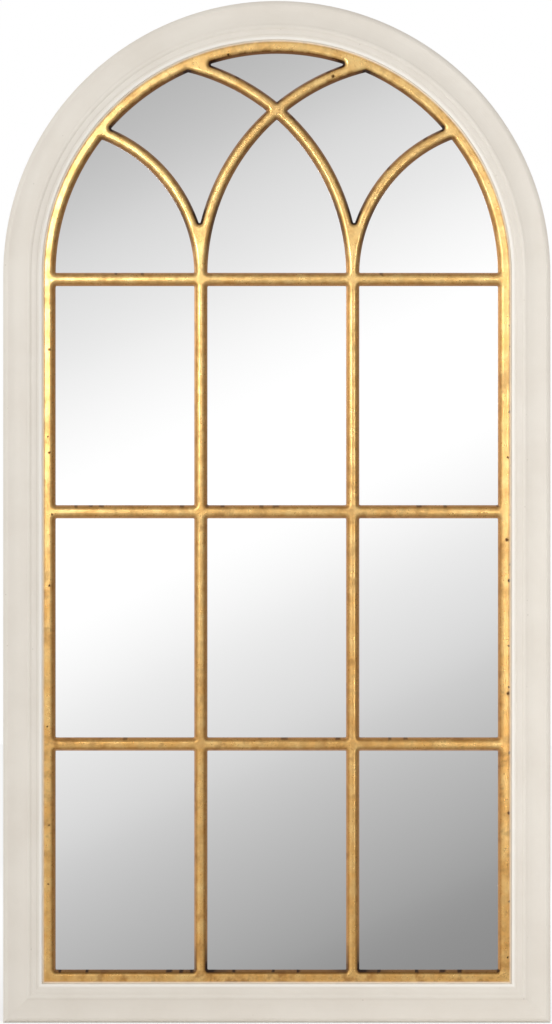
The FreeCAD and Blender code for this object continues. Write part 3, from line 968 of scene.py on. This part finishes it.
@dataclass
class BackFittings:
    """The turn buttons, strap hangers, screws and bumpers behind the frame.

    Attributes:
        prefixes: How the names of the metal fittings and their screws start.
        screw_bright: The screws' plating.
        screw_dull: The screws' plating where it is cloudy.
    """

    prefixes: tuple[str, ...] = ("turn_button", "hanger")
    screw_bright: Colour = srgb(196, 190, 172)
    screw_dull: Colour = srgb(150, 145, 132)

    def dress(self, names: list[str]) -> None:
        """Plates the metal and finishes the bumpers.

        Args:
            names: All the nodes of the frame.
        """
        metal = [name for name in names if name.startswith(self.prefixes)]
        screws = [name for name in metal if name.endswith("_screws")]
        dress([name for name in metal if name not in screws], PlatedSteel().material())
        dress(screws, PlatedSteel("screw_steel", self.screw_bright, self.screw_dull).material())
        dress(["wall_bumpers"], RUBBER.material())


@dataclass(frozen=True)
class AreaLamp:
    """A soft lamp that the camera doesn't see.

    Attributes:
        name: Its name.
        lights: What it lights.
        place: Where its middle is.
        mark: The point that it faces.
        power: Its power in watts.
        width: Its width, or its diameter where it is round.
        height: Its height where it is oblong.
        shape: Its outline.
        spread: The angle that its light fans out to.
    """

    name: str
    lights: Lights
    place: Point
    mark: Point
    power: float
    width: float
    height: float = 0.0
    shape: LampShape = LampShape.ROUND
    spread: float = math.pi

    def hang(self) -> None:
        """Hangs the lamp in the scene."""
        data = bpy.data.lights.new(self.name, "AREA")
        data.energy = self.power
        data.shape = self.shape.value
        data.size = self.width
        if self.shape is LampShape.OBLONG:
            data.size_y = self.height
        data.spread = self.spread
        lamp = bpy.data.objects.new(self.name, data)
        lamp.visible_camera = False
        lamp.visible_diffuse = self.lights is Lights.MATT
        lamp.visible_glossy = self.lights is Lights.GLOSS
        lamp.location = self.place
        away = Vector(self.place) - Vector(self.mark)
        lamp.rotation_euler = away.to_track_quat("Z", "Y").to_euler()
        bpy.context.scene.collection.objects.link(lamp)


@dataclass
class Studio:
    """The camera, the daylight, the lamps, the room and the floor.

    The lamps are two windows at the left and a narrow strip at the right, which only the gloss shows, and a
    fill at the right and one behind, which even the light on what is matt.

    What the gloss shows of the room goes by how far its direction points ahead, away from the wall: the
    room's sides turn into its front between the numbers of front_from, and the front into the band of light,
    which the flat glass mirrors, between those of band_from.
    """

    centre: Vector
    height: float
    front: float
    floor_height: float
    picture_width: float = 552.0
    picture_height: float = 1024.0
    object_height: float = 1023.0
    object_x: float = 276.8
    object_y: float = 511.7
    distance: float = 5.0
    sensor: float = 36.0
    floor_size: float = 12.0
    floor_grey: float = 0.92
    floor_roughness: float = 0.9
    floor_glow: float = 0.3
    daylight: float = 1.0
    daylight_spread: float = math.radians(40)
    daylight_way: Point = (-0.85, -0.5, 0.0)
    ambient: float = 0.67
    band_ends: Span = (-0.11, 0.13)
    band_lean: float = 0.47
    band_light: float = 1.2
    band_stops: tuple[Pair, ...] = (
        (0.0, 0.41),
        (0.12, 0.585),
        (0.25, 0.785),
        (0.41, 0.94),
        (0.55, 0.785),
        (0.69, 0.56),
        (0.87, 0.32),
        (1.0, 0.225),
    )
    least_ahead: float = 0.05
    front_from: Span = (0.5, 0.88)
    front_light: float = 0.68
    front_lean: float = -0.25
    band_from: Span = (0.955, 0.988)
    side_light: float = 0.45
    side_lean: float = -0.21
    lamps: tuple[AreaLamp, ...] = (
        AreaLamp(
            "window",
            Lights.GLOSS,
            place=(-0.63, -2.0, 0.2),
            mark=(-0.2, 0.0, 0.17),
            power=0.6,
            width=0.5,
            spread=math.radians(50),
        ),
        AreaLamp(
            "side_window",
            Lights.GLOSS,
            place=(-1.3, -0.9, 0.3),
            mark=(-0.1, 0.0, 0.2),
            power=1.2,
            width=0.7,
        ),
        AreaLamp(
            "strip",
            Lights.GLOSS,
            place=(0.62, -1.6, -0.1),
            mark=(0.25, 0.0, -0.1),
            power=0.08,
            width=0.12,
            height=0.9,
            shape=LampShape.OBLONG,
            spread=math.radians(20),
        ),
        AreaLamp(
            "fill",
            Lights.MATT,
            place=(0.75, -1.3, -0.3),
            mark=(0.2, 0.0, -0.3),
            power=3.8,
            width=0.4,
        ),
        AreaLamp(
            "back_fill",
            Lights.MATT,
            place=(0.5, 1.8, 0.3),
            mark=(0.0, 0.0, -0.1),
            power=3.5,
            width=0.8,
        ),
    )

    def camera(self) -> None:
        """Sets a long lens square in front of the mirror, framed as the photograph is."""
        pixel = self.height / self.object_height
        data = bpy.data.cameras.new("photo_camera")
        data.sensor_width = self.sensor
        data.lens = self.sensor * self.distance / (pixel * self.picture_height)
        camera = bpy.data.objects.new("photo_camera", data)
        aside = (self.picture_width / 2 - self.object_x) * pixel
        above = (self.object_y - self.picture_height / 2) * pixel
        camera.location = (self.centre.x + aside, self.front - self.distance, self.centre.z + above)
        camera.rotation_euler = (math.pi / 2, 0, 0)
        bpy.context.scene.collection.objects.link(camera)
        bpy.context.scene.camera = camera

    def world(self) -> None:
        """Makes the room: white to the camera, with a leaning band of light for the mirror."""
        world = bpy.data.worlds.new("room")
        bpy.context.scene.world = world
        world.use_nodes = True
        graph = Graph(world.node_tree)
        x, y, z = graph.split(graph.add("ShaderNodeTexCoord").outputs["Generated"])
        ahead = graph.most(graph.times(y, -1.0), self.least_ahead)
        lean = graph.math("SUBTRACT", graph.times(x, self.band_lean), z)
        share = graph.part_way(graph.math("DIVIDE", lean, ahead), *self.band_ends)
        band = graph.times(graph.ramp(share, self.band_stops), self.band_light)
        sides = graph.math("MULTIPLY_ADD", x, self.side_lean, self.side_light)
        front = graph.math("MULTIPLY_ADD", x, self.front_lean, self.front_light)
        walls = graph.between(graph.fade(ahead, *self.front_from), sides, front)
        room = graph.mix(graph.fade(ahead, *self.band_from), walls, band)
        path = graph.add("ShaderNodeLightPath").outputs
        mirrored = graph.most(path["Is Glossy Ray"], path["Is Transmission Ray"])
        seen = graph.mix(mirrored, (self.ambient,) * 3, room)
        seen = graph.mix(path["Is Camera Ray"], seen, (1.0, 1.0, 1.0))
        light = graph.add("ShaderNodeBackground", {"Color": seen})
        graph.add("ShaderNodeOutputWorld", {"Surface": light.outputs[0]})

    def sun(self) -> None:
        """Lets broad soft daylight in from the left."""
        data = bpy.data.lights.new("daylight", "SUN")
        data.energy = self.daylight
        data.angle = self.daylight_spread
        lamp = bpy.data.objects.new("daylight", data)
        lamp.visible_glossy = False
        lamp.rotation_euler = Vector(self.daylight_way).to_track_quat("Z", "Y").to_euler()
        bpy.context.scene.collection.objects.link(lamp)

    def floor(self) -> None:
        """Lays a pale floor under the mirror, which keeps its shadow."""
        bpy.ops.object.select_all(action="DESELECT")
        bpy.ops.mesh.primitive_plane_add(size=self.floor_size, location=(0, 0, self.floor_height))
        floor = bpy.context.object
        floor.name = "floor"
        floor.visible_glossy = False
        material, graph = new_material("pale_floor")
        path = graph.add("ShaderNodeLightPath").outputs
        graph.surface(
            Base_Color=(self.floor_grey,) * 3,
            Roughness=self.floor_roughness,
            Specular_IOR_Level=0.0,
            Emission_Color=(1.0, 1.0, 1.0),
            Emission_Strength=graph.times(path["Is Camera Ray"], self.floor_glow),
        )
        floor.data.materials.append(material)
        floor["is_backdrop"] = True

    def build(self) -> None:
        """Sets up the whole studio."""
        bpy.context.scene.view_settings.view_transform = "Standard"
        self.camera()
        self.world()
        self.sun()
        for lamp in self.lamps:
            lamp.hang()
        self.floor()


def main() -> None:
    """Loads the frame, dresses every piece and sets up the studio."""
    logging.basicConfig(level=logging.INFO, format="%(message)s")
    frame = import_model()
    cad_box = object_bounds()
    names = sorted(frame["nodes"])
    MouldedFrame().dress()
    GlazingLattice().dress(names)
    MirrorPack().dress()
    BackFittings().dress(names)
    low, high = cad_box
    Studio(centre=(low + high) / 2, height=high.z - low.z, front=low.y, floor_height=low.z).build()


if __name__ == "__main__":
    main()
